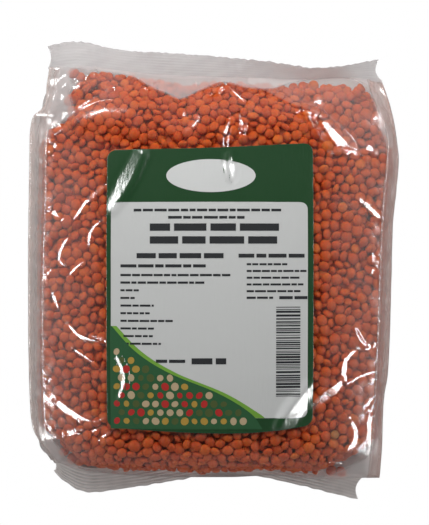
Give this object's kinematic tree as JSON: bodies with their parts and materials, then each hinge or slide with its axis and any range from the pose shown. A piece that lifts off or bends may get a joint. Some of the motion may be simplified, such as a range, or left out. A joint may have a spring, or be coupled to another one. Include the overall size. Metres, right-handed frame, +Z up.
{
  "type": "bag of lentils",
  "caption": "Sealed clear film bag packed full of small round red lentils, lying on its back, with crimped end seals, a welded fin along each long edge and a printed label on the front.",
  "frame": {"origin": "middle of the bag's box in X and Y, at the table under its flat back", "axes": "+X across the bag, +Y along it towards the top seal, +Z up out of the labelled front"},
  "size_m": [0.1888, 0.2378, 0.0424],
  "materials": {
    "bag": "glossy clear film over matt orange-red lentils",
    "label": "glossy printed sticker, dark green with a light grey panel"
  },
  "bodies": {
    "root": {"bag": "bag", "label": "label"}
  },
  "joints": []
}
